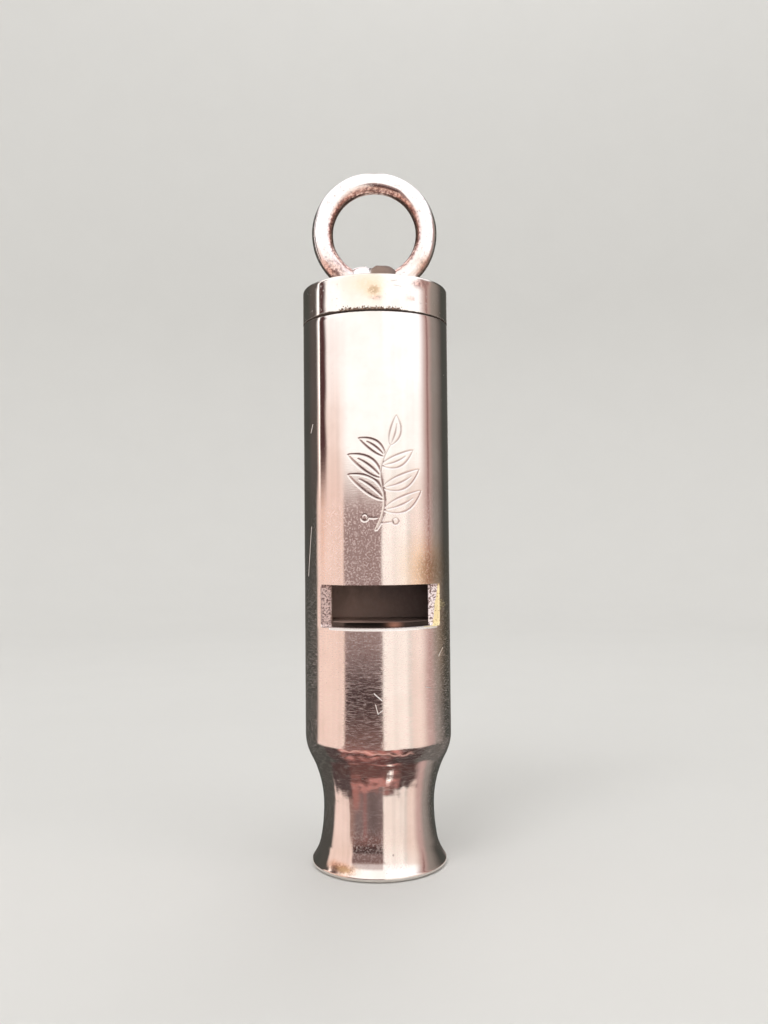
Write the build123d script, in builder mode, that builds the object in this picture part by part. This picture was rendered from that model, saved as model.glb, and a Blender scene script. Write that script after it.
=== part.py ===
from build123d import *

import os
from math import asin, atan2, cos, degrees, sin

# A two-note tube whistle: a drawn and spun brass barrel, nickel plated, with a flared mouthpiece
# at its foot, a sawn window in its front and another in its back, and a soldered cap that carries
# a fixed ring. A plate down the middle divides the barrel into two air chambers.
#
# Frame: millimetres, Z along the barrel. The rim of the mouthpiece stands on z = 0, the ring is on
# top in the XZ plane, and the front window faces -Y.

# ---- Driving sizes ----

# Barrel
barrel_radius = 8.5
wall = 1.0  # thickness of the sheet, the same in the barrel, the neck and the flare
chamber_height = 30.15  # from the windows' upper edge to the barrel's upper end
seam_chamfer = 0.12  # on both sides of the seam between barrel and cap

# Mouthpiece, spun from the barrel's own wall
mouth_radius = 7.87  # widest, at the rim
neck_radius = 6.42  # narrowest, at the waist
flare_height = 2.95  # from the rim to where the flare starts
throat_height = 3.65  # from there to the waist
throat_curve = 21.0  # radius of the neck's slow curve below the waist
shoulder_height = 8.3  # from the waist to the full barrel
shoulder_curve = 5.1  # radius of the round under the full barrel
rim_outer_round = 0.35
rim_inner_round = 0.2

# Windows, one straight saw cut each
window_height = 4.7
window_flat = 5.25  # from the axis to the flat of the cut
window_turn = 4.0  # degrees that the cuts are turned about the axis, the front one towards +X
window_rise = 12.7  # from the shoulder to the windows' lower edge

# Plugs and airways
plug_seat_gap = 0.6  # from the shoulder up to the plugs
plug_stand = 0.6  # how far the plugs stand above the windows' lower edge
airway_flat = 7.0  # from the axis to the flat filed on each plug
airway_turn = 7.0  # degrees that the front flat is turned about the axis, towards -X

# Divider and stop
divider_thickness = 0.8
divider_end_gap = 0.15  # under the cap's spigot
stop_drop = 6.6  # from the cap's spigot down to the stop: it sets how much higher the rear note is
stop_thickness = 1.2

# Cap
cap_height = 4.2
cap_round = 0.4
spigot_length = 3.0
solder_gap = 0.08  # film of solder between the spigot and the bore

# Ring and its braze
eye_radius = 4.9
wire_radius = 1.27
ring_seat_depth = 0.47  # filed off the ring's foot to seat it on the cap
braze_half_length = 2.75
braze_half_width = 1.95
braze_cover = 1.05  # braze over the wire inside the eye
braze_round = 1.1

# ---- Places that follow from the sizes ----

bore_radius = barrel_radius - wall
waist_z = flare_height + throat_height
shoulder_z = waist_z + shoulder_height
window_bottom = shoulder_z + window_rise
window_top = window_bottom + window_height
seam_z = window_top + chamber_height
cap_top = seam_z + cap_height

plug_bottom = shoulder_z + plug_seat_gap
plug_top = window_bottom + plug_stand
plug_height = plug_top - plug_bottom

spigot_radius = bore_radius - solder_gap
spigot_bottom = seam_z - spigot_length
divider_height = spigot_bottom - divider_end_gap - plug_bottom
stop_bottom = spigot_bottom - stop_drop

ring_centre_radius = eye_radius + wire_radius
ring_z = cap_top - ring_seat_depth + eye_radius + 2 * wire_radius
braze_height = ring_z - eye_radius + braze_cover - cap_top

# ---- The mouthpiece's curve ----
# Four arcs on the outside of the sheet, each tangent to the next: the shoulder's round, the neck
# above the waist, the throat below the waist, and the flare, which runs into the rim's round.
# The inside of the sheet has the same four centres, with each radius changed by the wall.

# The shoulder's and the neck's radii add up to the one value that joins them without a kink.
neck_drop = barrel_radius - neck_radius
both_curves = (shoulder_height**2 + neck_drop**2) / (2 * neck_drop)
neck_curve = both_curves - shoulder_curve
shoulder_angle = asin(shoulder_height / both_curves)
shoulder_centre = (barrel_radius - shoulder_curve, shoulder_z)
neck_centre = (neck_radius + neck_curve, waist_z)

throat_angle = asin(throat_height / throat_curve)
throat_centre = (neck_radius + throat_curve, waist_z)
flare_top = (throat_centre[0] - throat_curve * cos(throat_angle), flare_height)

# The flare leaves the throat along its tangent and touches the rim's round.
rim_centre = (mouth_radius - rim_outer_round, rim_outer_round)
across = flare_top[0] - rim_centre[0]
above = flare_top[1] - rim_centre[1]
lean = across * cos(throat_angle) + above * sin(throat_angle)
flare_curve = (across**2 + above**2 - rim_outer_round**2) / (2 * (rim_outer_round - lean))
flare_centre = (
    flare_top[0] + flare_curve * cos(throat_angle),
    flare_top[1] + flare_curve * sin(throat_angle),
)
flare_angle = atan2(flare_centre[1] - rim_centre[1], flare_centre[0] - rim_centre[0])
flare_angle_inside = asin(flare_centre[1] / (flare_curve + wall))
rim_inner_radius = flare_centre[0] - (flare_curve + wall) * cos(flare_angle_inside)


def mouthpiece_arcs(depth, last_angle):
    """Draws the four arcs, from the shoulder down, at a depth in the sheet, as far as last_angle."""
    CenterArc(shoulder_centre, shoulder_curve - depth, 0, -degrees(shoulder_angle))
    CenterArc(neck_centre, neck_curve + depth, 180 - degrees(shoulder_angle), degrees(shoulder_angle))
    CenterArc(throat_centre, throat_curve + depth, 180, degrees(throat_angle))
    CenterArc(
        flare_centre,
        flare_curve + depth,
        180 + degrees(throat_angle),
        degrees(last_angle - throat_angle),
    )


# ---- Barrel: one tube, its foot spun in to a neck and out to a flare, with two windows ----

with BuildPart() as barrel:
    with BuildSketch(Plane.XZ):
        with BuildLine():
            Line((bore_radius, seam_z), (barrel_radius, seam_z))
            Line((barrel_radius, seam_z), (barrel_radius, shoulder_z))
            mouthpiece_arcs(0, flare_angle)
            CenterArc(rim_centre, rim_outer_round, degrees(flare_angle), -90 - degrees(flare_angle))
            Line((rim_centre[0], 0), (rim_inner_radius, 0))
            mouthpiece_arcs(wall, flare_angle_inside)
            Line((bore_radius, shoulder_z), (bore_radius, seam_z))
        make_face()
    revolve(axis=Axis.Z)

    rim_circles = barrel.edges().group_by(Axis.Z)[0].filter_by(GeomType.CIRCLE)
    fillet(rim_circles.sort_by(SortBy.RADIUS)[0], radius=rim_inner_round)
    end_circles = barrel.edges().group_by(Axis.Z)[-1].filter_by(GeomType.CIRCLE)
    chamfer(end_circles.sort_by(SortBy.RADIUS)[-1], length=seam_chamfer)

    window_centre = (0, 0, (window_bottom + window_top) / 2)
    for turn in (window_turn - 90, window_turn + 90):
        outward = Vector(1, 0, 0).rotate(Axis.Z, turn)
        cut_floor = Plane(
            origin=window_centre + window_flat * outward,
            x_dir=outward.rotate(Axis.Z, 90),
            z_dir=outward,
        )
        with BuildSketch(cut_floor):
            Rectangle(2 * barrel_radius, window_height)
        extrude(amount=barrel_radius, mode=Mode.SUBTRACT)

barrel.part.label = "barrel"
export_step(barrel.part, "parts/barrel.step")

# ---- Divider plate: splits the barrel into a front and a rear air chamber ----

with BuildPart() as divider_plate:
    with BuildSketch(Plane.XY.offset(plug_bottom)):
        Circle(bore_radius)
        Rectangle(2 * bore_radius, divider_thickness, mode=Mode.INTERSECT)
    extrude(amount=divider_height)

divider_plate.part.label = "divider_plate"
export_step(divider_plate.part, "parts/divider_plate.step")

# ---- Airway plugs: half-round blocks whose filed flats leave a thin airway along the bore ----

with BuildPart() as front_airway_plug:
    with BuildSketch(Plane.XY.offset(plug_bottom)):
        Circle(bore_radius)
        with Locations((0, -(divider_thickness + bore_radius) / 2)):
            Rectangle(2 * bore_radius, bore_radius, mode=Mode.INTERSECT)
        with PolarLocations(airway_flat + bore_radius / 2, 1, start_angle=-90 - airway_turn):
            Rectangle(bore_radius, 2 * bore_radius, mode=Mode.SUBTRACT)
    extrude(amount=plug_height)

front_airway_plug.part.label = "front_airway_plug"
export_step(front_airway_plug.part, "parts/front_airway_plug.step")

with BuildPart() as rear_airway_plug:
    mirror(front_airway_plug.part, about=Plane.XZ)

rear_airway_plug.part.label = "rear_airway_plug"
export_step(rear_airway_plug.part, "parts/rear_airway_plug.step")

# ---- Rear chamber stop: shortens the rear chamber, so that it sounds the higher note ----

with BuildPart() as rear_chamber_stop:
    with BuildSketch(Plane.XY.offset(stop_bottom)):
        Circle(bore_radius)
        with Locations((0, (divider_thickness + bore_radius) / 2)):
            Rectangle(2 * bore_radius, bore_radius, mode=Mode.INTERSECT)
    extrude(amount=stop_thickness)

rear_chamber_stop.part.label = "rear_chamber_stop"
export_step(rear_chamber_stop.part, "parts/rear_chamber_stop.step")

# ---- End cap: turned disc with a spigot that goes down into the bore ----

with BuildPart() as end_cap:
    with BuildSketch(Plane.XY.offset(seam_z)):
        Circle(barrel_radius)
    extrude(amount=cap_height)
    fillet(end_cap.edges().group_by(Axis.Z)[-1], radius=cap_round)
    chamfer(end_cap.edges().group_by(Axis.Z)[0], length=seam_chamfer)
    with BuildSketch(Plane.XY.offset(seam_z)):
        Circle(spigot_radius)
    extrude(amount=-spigot_length)

end_cap.part.label = "end_cap"
export_step(end_cap.part, "parts/end_cap.step")

# ---- Cap solder: the film of soft solder that holds the spigot in the bore ----

with BuildPart() as cap_solder:
    with BuildSketch(Plane.XY.offset(spigot_bottom)):
        Circle(bore_radius)
        Circle(spigot_radius, mode=Mode.SUBTRACT)
    extrude(amount=spigot_length)

cap_solder.part.label = "cap_solder"
export_step(cap_solder.part, "parts/cap_solder.step")

# ---- Hanging ring: closed ring of round wire, its foot filed flat to seat on the cap ----

with BuildPart() as hanging_ring:
    with BuildSketch(Plane.YZ):
        with Locations((0, ring_z + ring_centre_radius)):
            Circle(wire_radius)
    revolve(axis=Axis((0, 0, ring_z), (0, 1, 0)))
    split(bisect_by=Plane.XY.offset(cap_top), keep=Keep.TOP)

hanging_ring.part.label = "hanging_ring"
export_step(hanging_ring.part, "parts/hanging_ring.step")

# ---- Ring braze: the lump of hard solder around the ring's foot ----

with BuildPart() as ring_braze:
    with BuildSketch(Plane.XZ):
        with BuildLine():
            EllipticalCenterArc((0, cap_top), braze_half_length, braze_height, start_angle=0, arc_size=180)
            Line((-braze_half_length, cap_top), (braze_half_length, cap_top))
        make_face()
    extrude(amount=braze_half_width, both=True)
    lump_rims = ring_braze.edges().filter_by(GeomType.ELLIPSE)
    fillet(lump_rims, radius=braze_round)
    add(hanging_ring.part, mode=Mode.SUBTRACT)

ring_braze.part.label = "ring_braze"
export_step(ring_braze.part, "parts/ring_braze.step")
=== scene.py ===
"""A nickel-plated tube whistle, standing on its mouthpiece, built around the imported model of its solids."""

from math import acos, asin, atan2, cos, pi, radians, sin

import bpy
import numpy as np
from mathutils import Matrix, Vector


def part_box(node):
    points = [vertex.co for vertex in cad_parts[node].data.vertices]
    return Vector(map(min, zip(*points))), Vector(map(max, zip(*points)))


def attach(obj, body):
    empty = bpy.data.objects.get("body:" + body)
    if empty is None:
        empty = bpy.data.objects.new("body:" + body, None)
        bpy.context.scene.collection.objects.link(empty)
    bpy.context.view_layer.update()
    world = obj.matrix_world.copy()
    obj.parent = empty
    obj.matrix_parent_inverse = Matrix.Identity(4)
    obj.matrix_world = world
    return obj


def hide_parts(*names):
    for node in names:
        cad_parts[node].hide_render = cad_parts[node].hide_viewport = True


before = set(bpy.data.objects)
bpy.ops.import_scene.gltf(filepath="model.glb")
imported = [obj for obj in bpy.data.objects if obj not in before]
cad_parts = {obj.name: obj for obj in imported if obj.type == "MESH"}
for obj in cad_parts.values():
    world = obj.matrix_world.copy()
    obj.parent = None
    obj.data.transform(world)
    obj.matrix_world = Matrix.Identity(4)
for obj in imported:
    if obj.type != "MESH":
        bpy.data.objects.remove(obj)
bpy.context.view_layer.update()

mm = 0.001

# ---- Camera ----
# It stands in front of the whistle, a little under half way up, and looks up by a degree or two.

camera_place = Vector((0.87, -110.07, 37.13)) * mm
camera_tilt = radians(1.78)
camera_roll = radians(-0.5)
camera_sensor = 36.0
camera_lens = 32.78

camera_data = bpy.data.cameras.new("camera")
camera_data.sensor_width = camera_sensor
camera_data.lens = camera_lens
camera_data.clip_start = 2 * mm
camera_data.clip_end = 10.0
camera = bpy.data.objects.new("camera", camera_data)
bpy.context.scene.collection.objects.link(camera)
camera.matrix_world = (
    Matrix.Translation(camera_place)
    @ Matrix.Rotation(radians(90) + camera_tilt, 4, "X")
    @ Matrix.Rotation(camera_roll, 4, "Z")
)
bpy.context.scene.camera = camera

# ---- Barrel ----
# One drawn brass tube, its foot spun in to a neck and out to a flared mouthpiece. Each window is
# one straight saw cut, a small sprig is engraved above the front one, and the whole tube was then
# nickel plated and polished round and round. The plate has worn through at the window's end.

_, barrel_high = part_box("barrel")
plug_low, plug_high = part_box("front_airway_plug")
barrel_radius = barrel_high.x
seam_z = barrel_high.z
wall = 1.0 * mm
bore_radius = barrel_radius - wall

mouth_radius = 7.87 * mm
neck_radius = 6.42 * mm
flare_height = 2.95 * mm
waist_z = 6.6 * mm
throat_curve = 21.0 * mm
shoulder_z = plug_low.z - 0.6 * mm
shoulder_curve = 5.1 * mm
rim_outer_round = 0.35 * mm
rim_inner_round = 0.2 * mm
end_round = 0.13 * mm  # the barrel's worn upper edge, at the seam

window_flat = 5.25 * mm  # from the axis to the flat of the cut
window_turn = radians(4.0)  # how far the cuts are turned about the axis, the front one towards +X
window_bottom = plug_high.z - 0.6 * mm
window_height = 4.7 * mm
window_middle = window_bottom + window_height / 2
outer_wear = 0.06 * mm  # how far the cut's edges are worn back, outside and inside
inner_wear = 0.04 * mm

sprig_middle = (0.85 * mm, 44.4 * mm)  # along the tube's surface, and up
sprig_half_width = 5.5 * mm
sprig_half_height = 7.0 * mm
groove_half_width = 0.15 * mm
groove_depth = 0.065 * mm


def arc(centre, radius, start, end, steps):
    """Points (r, z) on a circle about centre, from one angle to another."""
    turn = np.linspace(start, end, steps)
    return np.stack([centre[0] + radius * np.cos(turn), centre[1] + radius * np.sin(turn)], axis=1)


def ease(low, high, value):
    """0 below low and 1 above high, with a smooth cubic between them. It runs down if low is above high."""
    share = np.clip((np.asarray(value) - low) / (high - low), 0, 1)
    return share * share * (3 - 2 * share)


def bump_at(distance, size):
    """A smooth round hump, 1 at no distance: e to the power of minus half of (distance / size) squared."""
    return np.exp(-0.5 * (distance / size) ** 2)


def most(*shares):
    """The greatest of several shares, place by place."""
    return np.maximum.reduce(shares)


def spots(across, up, *each):
    """Smooth oval humps. Each has its height, its middle (across, up) and its size across and up."""
    humps = (
        high * bump_at(np.hypot((across - x) / size_x, (up - z) / size_z), 1.0)
        for high, x, z, size_x, size_z in each
    )
    return most(*humps)


# The mouthpiece's outline is four arcs, each tangent to the next. The shoulder's and the neck's
# radii add up to the one value that joins them, and the flare touches the rim's round.
neck_drop = barrel_radius - neck_radius
neck_rise = shoulder_z - waist_z
both_curves = (neck_rise**2 + neck_drop**2) / (2 * neck_drop)
neck_curve = both_curves - shoulder_curve
lean = asin(neck_rise / both_curves)
throat_turn = asin((waist_z - flare_height) / throat_curve)
throat_centre = (neck_radius + throat_curve, waist_z)
flare_top = (throat_centre[0] - throat_curve * cos(throat_turn), flare_height)
rim_centre = (mouth_radius - rim_outer_round, rim_outer_round)
across, above = flare_top[0] - rim_centre[0], flare_top[1] - rim_centre[1]
toward = across * cos(throat_turn) + above * sin(throat_turn)
flare_curve = (across**2 + above**2 - rim_outer_round**2) / (2 * (rim_outer_round - toward))
flare_centre = (
    flare_top[0] + flare_curve * cos(throat_turn),
    flare_top[1] + flare_curve * sin(throat_turn),
)
flare_turn = atan2(flare_centre[1] - rim_centre[1], flare_centre[0] - rim_centre[0])


def mouthpiece(depth, rim_turn):
    """Flare, throat, neck and shoulder from the rim up, as (r, z), at a depth in the sheet.

    The arcs inside have the same centres: the shoulder's radius less the depth, the others' more.
    """
    flare = arc(flare_centre, flare_curve + depth, pi + rim_turn, pi + throat_turn, 20)
    throat = arc(throat_centre, throat_curve + depth, pi + throat_turn, pi, 11)
    neck = arc((neck_radius + neck_curve, waist_z), neck_curve + depth, pi, pi - lean, 22)
    shoulder = arc((barrel_radius - shoulder_curve, shoulder_z), shoulder_curve - depth, -lean, 0, 18)
    return np.concatenate([flare[:-1], throat[:-1], neck[:-1], shoulder[:-1]])


def straight(radius, heights):
    return np.stack([np.full(len(heights), radius), heights], axis=1)


# The wall's closed outline, one row of points for each height: up the outside from the rim, over
# the seam's edge, and down the inside.
sprig_rows = np.linspace(sprig_middle[1] - sprig_half_height, sprig_middle[1] + sprig_half_height, 200)
cut_rows = 13
outer_cut = np.linspace(window_bottom - outer_wear, window_bottom + window_height + outer_wear, cut_rows)
inner_cut = np.linspace(window_bottom - inner_wear, window_bottom + window_height + inner_wear, cut_rows)
inner_rim_z = rim_inner_round * 0.45
inner_turn = asin((flare_centre[1] - inner_rim_z) / (flare_curve + wall))
inner_rim_r = flare_centre[0] - (flare_curve + wall) * cos(inner_turn)
outside = np.concatenate(
    [
        arc(rim_centre, rim_outer_round, -pi / 2, flare_turn, 12)[:-1],
        mouthpiece(0, flare_turn),
        straight(barrel_radius, np.linspace(shoulder_z, outer_cut[0] - 0.2 * mm, 26)),
        straight(barrel_radius, outer_cut),
        straight(barrel_radius, np.linspace(outer_cut[-1] + 0.2 * mm, sprig_rows[0], 12)[:-1]),
        straight(barrel_radius, sprig_rows),
        straight(barrel_radius, np.linspace(sprig_rows[-1], seam_z - end_round, 22)[1:-1]),
        arc((barrel_radius - end_round, seam_z - end_round), end_round, 0, pi / 2, 5),
    ]
)
inside = np.concatenate(
    [
        straight(bore_radius, [seam_z]),
        straight(bore_radius, np.linspace(seam_z - 1 * mm, inner_cut[-1] + 0.5 * mm, 9)),
        straight(bore_radius, inner_cut[::-1]),
        straight(bore_radius, np.linspace(inner_cut[0] - 0.5 * mm, shoulder_z, 7)),
        mouthpiece(wall, inner_turn)[::-1][::2],
        np.array([[inner_rim_r + 0.05 * mm, 0.02 * mm], [inner_rim_r + 0.16 * mm, 0.0]]),
    ]
)
outline = np.concatenate([outside, inside])
outer_count = len(outside)


def row_at(height, first, last):
    """The number of the row nearest a height, among the rows from first to last."""
    return first + int(np.argmin(np.abs(outline[first:last, 1] - height)))


# Columns go round the tube from the rear window's middle, by way of the -X side. They are fine
# across the sprig, and one column of points lies on each end of each window. Their angles are
# counted from the front window's middle until the grid is made.
cut_turn = acos((window_flat - outer_wear) / barrel_radius)
sprig_turn = sprig_middle[0] / barrel_radius - window_turn
fine_turn = sprig_half_width / barrel_radius


def widening(start, end, steps):
    """Angles from start to end whose gaps grow on the way: start plus the span times share to the 1.5."""
    return start + (end - start) * np.linspace(0, 1, steps) ** 1.5


columns = np.concatenate(
    [
        np.linspace(-pi, -pi + cut_turn, 12)[:-1],
        np.linspace(-pi + cut_turn, -cut_turn, 19)[:-1],
        widening(sprig_turn - fine_turn, -cut_turn, 13)[::-1][:-1],
        np.linspace(sprig_turn - fine_turn, sprig_turn + fine_turn, 140)[:-1],
        widening(sprig_turn + fine_turn, cut_turn, 11)[:-1],
        np.linspace(cut_turn, pi - cut_turn, 19)[:-1],
        np.linspace(pi - cut_turn, pi, 12)[:-1],
    ]
)


def cut_angle(radius, worn):
    """Half the angle that a window spans at a radius: the turn at which the tube meets the cut's flat."""
    return np.arccos((window_flat - worn) / radius)


def at_radius(turn, new_cut_turn, share):
    """Slides the columns round so that those on the windows' ends lie at new_cut_turn."""
    stops, new_stops = ([0, end, pi - end, pi] for end in (cut_turn, new_cut_turn))
    return turn + share * (np.sign(turn) * np.interp(np.abs(turn), stops, new_stops) - turn)


def dent_at(turn, height, where, up, size):
    """A round hump on the tube, by its turn and its height and size in millimetres."""
    return bump_at(np.hypot((turn - where) * barrel_radius, height - up * mm) / mm, size)


def plate_waves(turn, height):
    """How far the polished surface lies inside the true tube: low waves, two dings and a bruised rim.

    The waves are sines of turn and height with unrelated lengths, shorter and deeper on the spun
    shoulder. Everything is zero or inward.
    """
    z = height / mm
    waves = (
        3.0
        + np.sin(2 * turn + 0.9 * z)
        + np.sin(5 * turn - 0.37 * z + 1.1)
        + np.sin(3 * turn + 0.16 * z + 2.0)
    )
    ding = dent_at(turn, height, -0.62, 20.2, 0.7) + 0.7 * dent_at(turn, height, 0.95, 55.0, 0.9)
    spun = bump_at(z - 12.0, 2.6) * (
        3.0
        + np.sin(9 * turn + 2.9 * z)
        + np.sin(14 * turn - 4.3 * z + 1.0)
        + np.sin(5 * turn + 6.1 * z + 2.2)
    )
    rim = ease(3.2, 0.6, z)
    bruise = spots(turn, z, (1.0, -1.45, 0.6, 0.095, 0.577))
    scallop = 0.5 + 0.5 * np.sin(3 * turn + 0.7) + 0.25 * (1 + np.sin(7 * turn + 2.1))
    return (0.0012 * waves + 0.0045 * spun + 0.02 * ding + rim * (0.05 * bruise + 0.03 * scallop)) * mm


# The sprig: a bent stem with three leaves on each side, one at its tip, and two small berries.
# Its curves are worked out in millimetres from the sprig's middle.


def stem_at(share):
    """A shallow S: x bends as a sine while y climbs evenly, from the cut end to the last leaf."""
    return np.stack([-0.95 + 1.75 * share + 0.55 * np.sin(2 * pi * share), -6.1 + 9.3 * share], axis=-1)


def leaf_curves(foot, heading, length, width):
    """Both edges and the midrib of a leaf. Each edge bows out from the midrib as a sine to the power 0.8."""
    share = np.linspace(0, 1, 26)
    along = np.array([sin(heading), cos(heading)])
    aside = np.array([along[1], -along[0]])
    bow = 0.22 * width * np.sin(pi * share)
    line = foot + np.outer(length * share, along) + np.outer(bow, aside)
    edge = np.outer(0.5 * width * np.sin(pi * share**0.85) ** 0.8, aside)
    return [line + edge, line - edge, line[2:19]]


def berry_curve(middle, radius):
    turn = np.linspace(0, 2 * pi, 19)
    return np.stack([middle[0] + radius * np.sin(turn), middle[1] + radius * np.cos(turn)], axis=1)


stem_shares = np.array([0.24, 0.36, 0.50, 0.62, 0.76, 0.87])
leaf_sides = np.array([1, -1, 1, -1, 1, -1])
leaf_lengths = np.array([5.0, 4.9, 4.8, 4.5, 4.0, 3.5])
sprig_curves = [stem_at(np.linspace(0, 1, 40)), stem_at(np.linspace(0, 0.2, 10)) + [0.16, 0]]
for share, side, length in zip(stem_shares, leaf_sides, leaf_lengths):
    foot = stem_at(np.array(share))
    sprig_curves += leaf_curves(foot, side * radians(60) + 0.08, length, 0.33 * length)
sprig_curves += leaf_curves(stem_at(np.array(1.0)), radians(12), 3.4, 1.25)
sprig_curves += [berry_curve((-2.1, -4.7), 0.36), berry_curve((1.3, -5.1), 0.36)]
sprig_curves += [np.array([[-0.75, -4.75], [-1.75, -4.7]]), np.array([[-0.55, -5.35], [0.95, -5.15]])]


def groove_at(places):
    """How deep the graver went at each place, from 0 to 1.

    Beside a curve it is a squared cosine of the distance, over a width that narrows to the curve's
    ends.
    """
    deepest = np.zeros(len(places))
    for curve in sprig_curves:
        start, step = curve[:-1], np.diff(curve, axis=0)
        away = places[:, None, :] - start[None]
        share = np.clip((away * step).sum(2) / (step**2).sum(1), 0, 1)
        distance = np.linalg.norm(away - share[..., None] * step, axis=2)
        along = (np.arange(len(step)) + share) / len(step)
        weight = 0.55 + 0.45 * np.sin(pi * along)
        reach = np.clip(distance / (weight * groove_half_width / mm), 0, 1)
        deepest = np.maximum(deepest, (weight * np.cos(pi / 2 * reach) ** 2).max(axis=1))
    return deepest


# The grid: every row crossed with every column.
turn = np.broadcast_to(columns, (len(outline), len(columns))).copy()
radius = np.repeat(outline[:, :1], len(columns), axis=1)
height = np.repeat(outline[:, 1:], len(columns), axis=1)
is_outside = np.arange(len(outline)) < outer_count
new_turn = float(cut_angle(bore_radius, inner_wear))
inward_share = ease(shoulder_z - 8 * mm, shoulder_z, outline[:, 1]) * ~is_outside
turn = at_radius(turn, new_turn, inward_share[:, None]) + window_turn

groove = np.zeros(turn.shape)
across_sprig = (turn * barrel_radius - sprig_middle[0]) / mm
up_sprig = (height - sprig_middle[1]) / mm
engraved = (
    is_outside[:, None]
    & (np.abs(across_sprig) < sprig_half_width / mm)
    & (np.abs(up_sprig) < sprig_half_height / mm)
)
groove[engraved] = groove_at(np.stack([across_sprig[engraved], up_sprig[engraved]], axis=1))
radius = radius - is_outside[:, None] * plate_waves(turn, height) - groove * groove_depth

rows, cols = turn.shape
number = np.arange(rows * cols).reshape(rows, cols)


def block_rim(row_list, col_list):
    """The point numbers round a block of the grid: left to right below, up, back above, and down."""
    block = number[np.ix_(row_list, col_list % cols)]
    return np.concatenate([block[0, :-1], block[:-1, -1], block[-1, :0:-1], block[:0:-1, 0]])


def column_at(angle):
    return int(np.argmin(np.abs(columns - angle)))


def quads(numbers):
    """Four-sided faces on a grid of point numbers. The last row and column meet the first ones."""
    next_col = np.roll(numbers, -1, axis=1)
    next_row, next_both = (np.roll(each, -1, axis=0) for each in (numbers, next_col))
    return np.stack([numbers, next_col, next_both, next_row], axis=2)


def about_z(radius, turn, height):
    """Points about the Z axis, by their turn from the front."""
    return np.stack([radius * np.sin(turn), -radius * np.cos(turn), height], axis=-1)


grid_faces = quads(number)
kept_faces = np.ones((rows, cols), bool)

flat_turn, flat_height = turn.ravel(), height.ravel()
cut_points, cut_faces, cut_depths = [], [], []
straight_steps = 10
point_total = rows * cols
low_out, high_out = row_at(outer_cut[0], 0, outer_count), row_at(outer_cut[-1], 0, outer_count)
low_in, high_in = row_at(inner_cut[0], outer_count, rows), row_at(inner_cut[-1], outer_count, rows)
windows = [
    (window_turn, column_at(-cut_turn), column_at(cut_turn)),
    (window_turn + pi, column_at(pi - cut_turn), column_at(-pi + cut_turn) + cols),
]
for facing, left, right in windows:
    span = np.arange(left, right + 1)
    kept_faces[np.ix_(np.arange(low_out, high_out), span[:-1] % cols)] = False
    kept_faces[np.ix_(np.arange(high_in, low_in), span[:-1] % cols)] = False
    outer_rim = block_rim(np.arange(low_out, high_out + 1), span)
    inner_rim = block_rim(np.arange(low_in, high_in - 1, -1), span)

    # Where each point stands on the opening's rim: from -1 to 1 across, and from -1 to 1 up.
    swing = (flat_turn[outer_rim] - facing + pi) % (2 * pi) - pi
    across_share = swing / cut_turn
    up_share = (flat_height[outer_rim] - window_middle) / (window_height / 2 + outer_wear)

    # The cut goes through the wall in steps: round the worn outer edge, straight in, and round the
    # inner edge.
    bend = np.linspace(0, pi / 2, 5)[1:]
    depths = np.concatenate(
        [
            outer_wear * (1 - np.cos(bend)),
            np.linspace(outer_wear, wall - inner_wear, straight_steps + 2)[1:-1],
            wall - inner_wear * (1 - np.cos(bend[::-1])),
        ]
    )
    rounding = 1 - np.sin(bend)
    setbacks = np.concatenate(
        [outer_wear * rounding, np.zeros(straight_steps), inner_wear * rounding[::-1]]
    )
    loops = [outer_rim]
    for depth, setback in zip(depths, setbacks):
        loop_radius = barrel_radius - depth
        half_angle = float(cut_angle(loop_radius, setback))
        loop_turn = facing + across_share * half_angle
        loop_height = window_middle + up_share * (window_height / 2 + setback)
        count = len(loop_turn)
        cut_points.append(about_z(loop_radius, loop_turn, loop_height))
        cut_depths.append(np.full(count, depth / wall))
        loops.append(point_total + np.arange(count))
        point_total += count
    loops.append(inner_rim)
    for near, far in zip(loops[:-1], loops[1:]):
        cut_faces.append(quads(np.stack([near, far]))[0])

points = np.concatenate([about_z(radius, turn, height).reshape(-1, 3), *cut_points])
barrel_faces = np.concatenate([grid_faces[kept_faces], *cut_faces])

# What the finish needs to know at each point, from 0 to 1.
grid_size = rows * cols
x_mm, z_mm = points[:, 0] / mm, points[:, 2] / mm
on_cut = np.arange(len(points)) >= grid_size
cut_depth = np.concatenate([np.zeros(grid_size), *cut_depths])
in_front = points[:, 1] < 0
cut_count = len(points) - grid_size
bore_side = np.concatenate([np.repeat(~is_outside, cols), np.zeros(cut_count, bool)])
outer_front = in_front & ~bore_side
middle_mm, half_mm = window_middle / mm, window_height / mm / 2
up_from_cut = np.abs(z_mm - middle_mm) - half_mm
right_end = on_cut & in_front & (x_mm > 5.2) & (up_from_cut < 0.01)
wedge = 0.12 + 0.25 * (1 - (z_mm - middle_mm) / half_mm)  # deeper towards the window's foot
flare_spot = np.hypot((x_mm + 4.0) / 1.15, (z_mm - 1.05) / 0.40)  # 1 on the rim of a dried drop
flare_band = ease(-3.1, -2.85, x_mm) * ease(0.52, 0.34, x_mm)  # darkened fine marks at the front
flare_band = flare_band * ease(1.15, 1.4, z_mm) * ease(3.2, 2.4, z_mm)
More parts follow.
